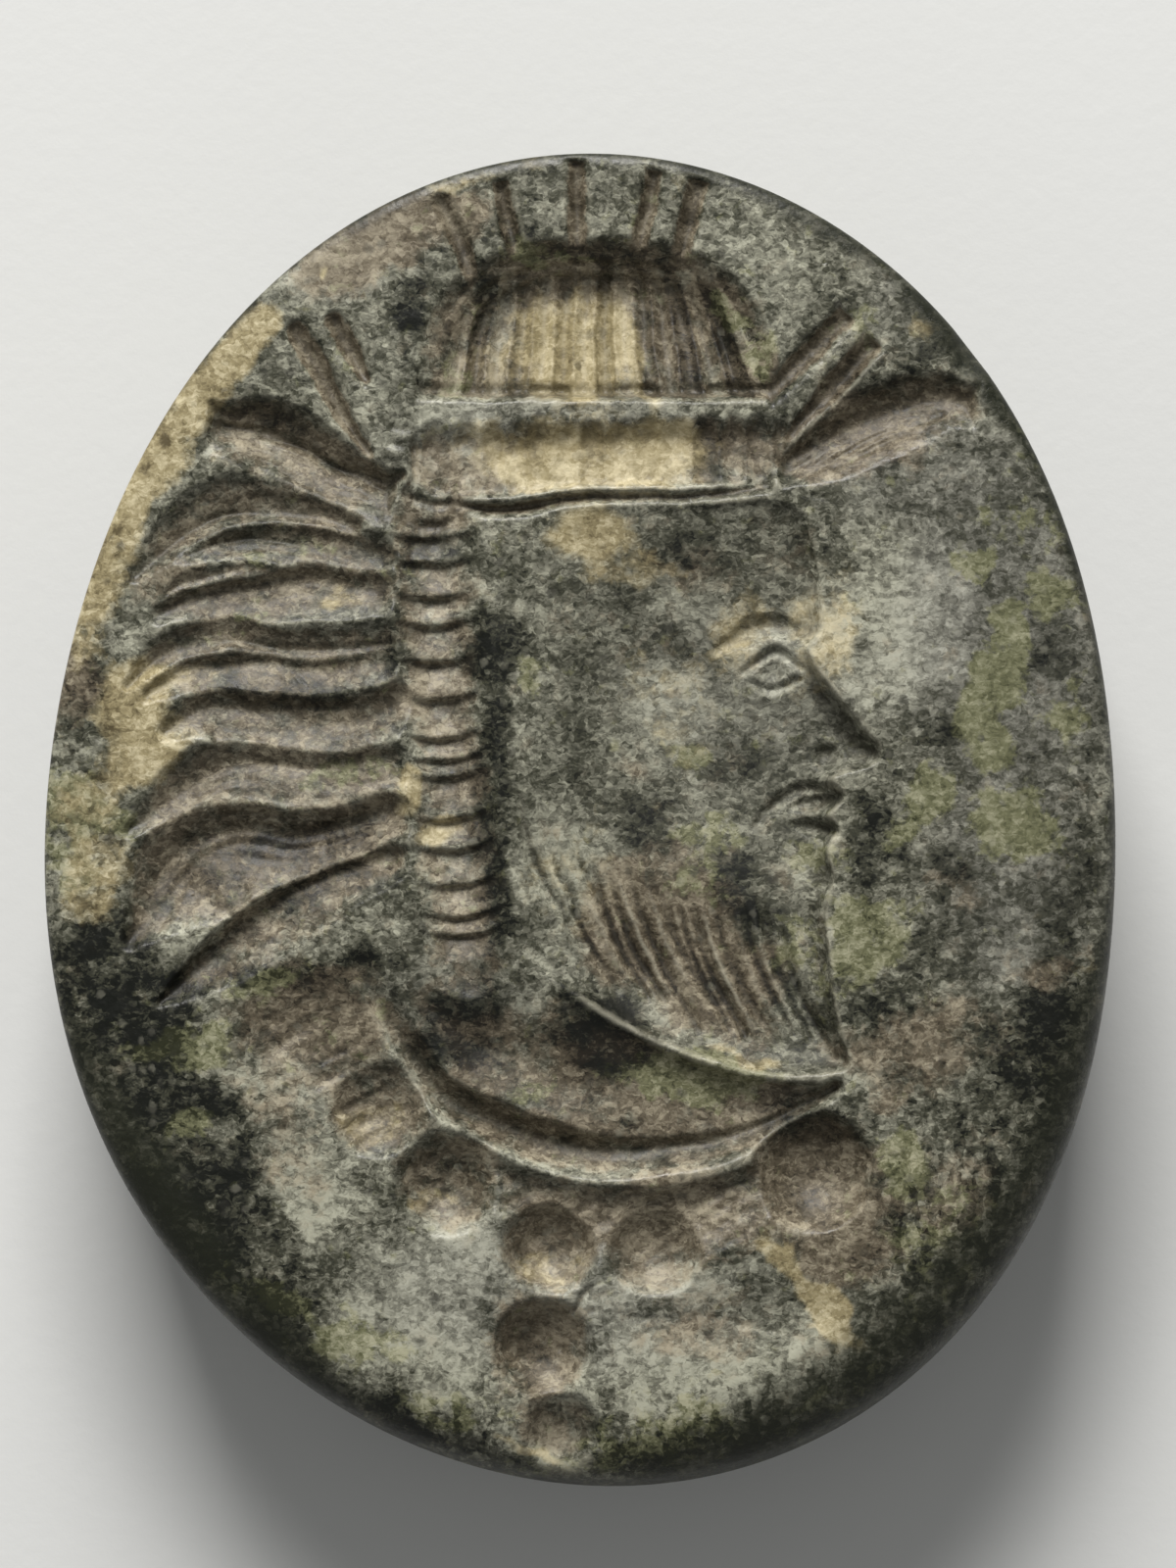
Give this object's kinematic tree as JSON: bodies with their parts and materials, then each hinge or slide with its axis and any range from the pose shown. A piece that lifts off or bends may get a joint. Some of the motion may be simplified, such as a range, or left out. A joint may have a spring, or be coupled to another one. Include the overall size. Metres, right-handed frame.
{
  "type": "stamp seal",
  "caption": "Loose oval stone stamp seal with a flat back, its face sunk with a crowned head in profile, streaming locks, a plait, a beard and a row of drilled beads.",
  "frame": {"origin": "on the table under the middle of the seal, which lies face up on its flat back", "axes": "+X to the right across the face, +Y up the face towards the top of the crown, +Z out of the face"},
  "size_m": [0.0306, 0.038, 0.009],
  "materials": {
    "serpentine": "mottled green stone, hand ground, worn to a dull satin"
  },
  "bodies": {
    "root": {"stamp_seal": "serpentine"}
  },
  "joints": []
}
